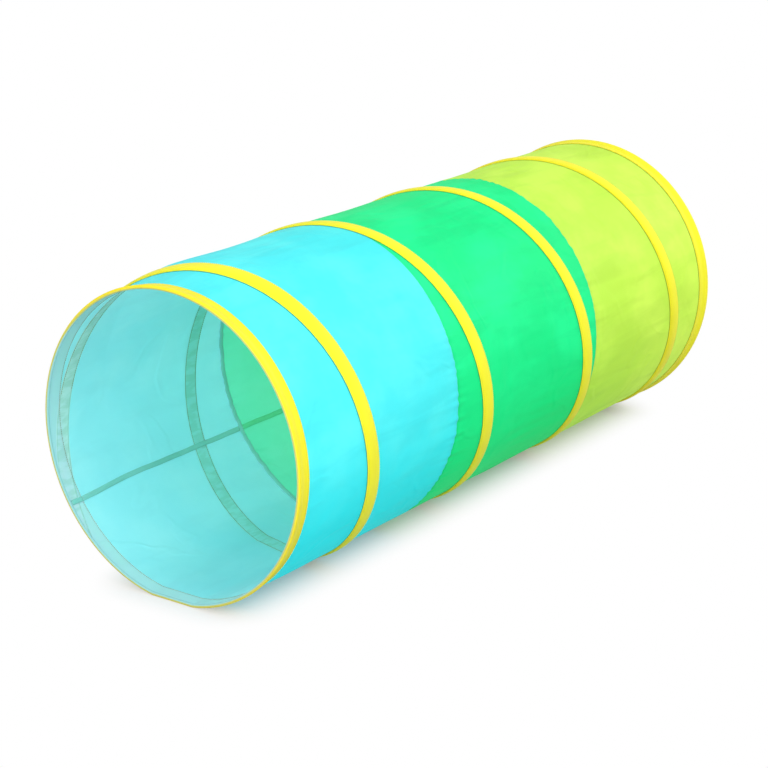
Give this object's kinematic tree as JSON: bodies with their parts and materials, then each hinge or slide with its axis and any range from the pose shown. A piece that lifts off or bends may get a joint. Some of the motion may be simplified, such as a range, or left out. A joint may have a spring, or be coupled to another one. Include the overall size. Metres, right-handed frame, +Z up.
{
  "type": "collapsible play tunnel",
  "caption": "Round cloth crawl tunnel in three colour panels, held open by a spring wire coil in outside tape between two taped hoops; it presses flat along its length.",
  "frame": {"origin": "on the floor, under the middle of the tunnel", "axes": "+Z up, +Y along the tunnel from the mouth to the far end, +X to the right as seen from the mouth"},
  "size_m": [0.475, 1.15, 0.472],
  "materials": {
    "cyan_fabric": "thin plain-weave polyester, slight sheen, lets light through",
    "green_fabric": "thin plain-weave polyester, slight sheen, lets light through",
    "lime_fabric": "thin plain-weave polyester, slight sheen, lets light through",
    "yellow_tape": "woven binding tape, matt",
    "spring_steel": "oiled spring wire",
    "zinc_crimp": "dull zinc-plated sleeve"
  },
  "bodies": {
    "front_hoop": {"front_hoop_binding": "yellow_tape", "front_hoop_wire": "spring_steel", "front_hoop_crimp": "zinc_crimp", "front_splice_crimp": "zinc_crimp", "front_panel": "cyan_fabric", "middle_panel": "green_fabric", "front_join_seam": "cyan_fabric", "front_side_seam": "cyan_fabric", "middle_side_seam": "green_fabric", "coil_casing": "yellow_tape", "coil_wire": "spring_steel"},
    "rear_hoop": {"rear_hoop_binding": "yellow_tape", "rear_hoop_wire": "spring_steel", "rear_hoop_crimp": "zinc_crimp", "rear_splice_crimp": "zinc_crimp", "rear_panel": "lime_fabric", "rear_join_seam": "green_fabric", "rear_side_seam": "lime_fabric"}
  },
  "joints": [
    {"name": "tunnel_collapse", "type": "slide", "parent": "front_hoop", "child": "rear_hoop", "axis": [0, 1, 0], "range_m": [-1.075, 0], "stiffness_N_per_m": 12, "springref_m": 0.12, "deforming": ["front_panel", "middle_panel", "rear_panel", "front_join_seam", "rear_join_seam", "front_side_seam", "middle_side_seam", "rear_side_seam", "coil_casing", "coil_wire"]}
  ]
}
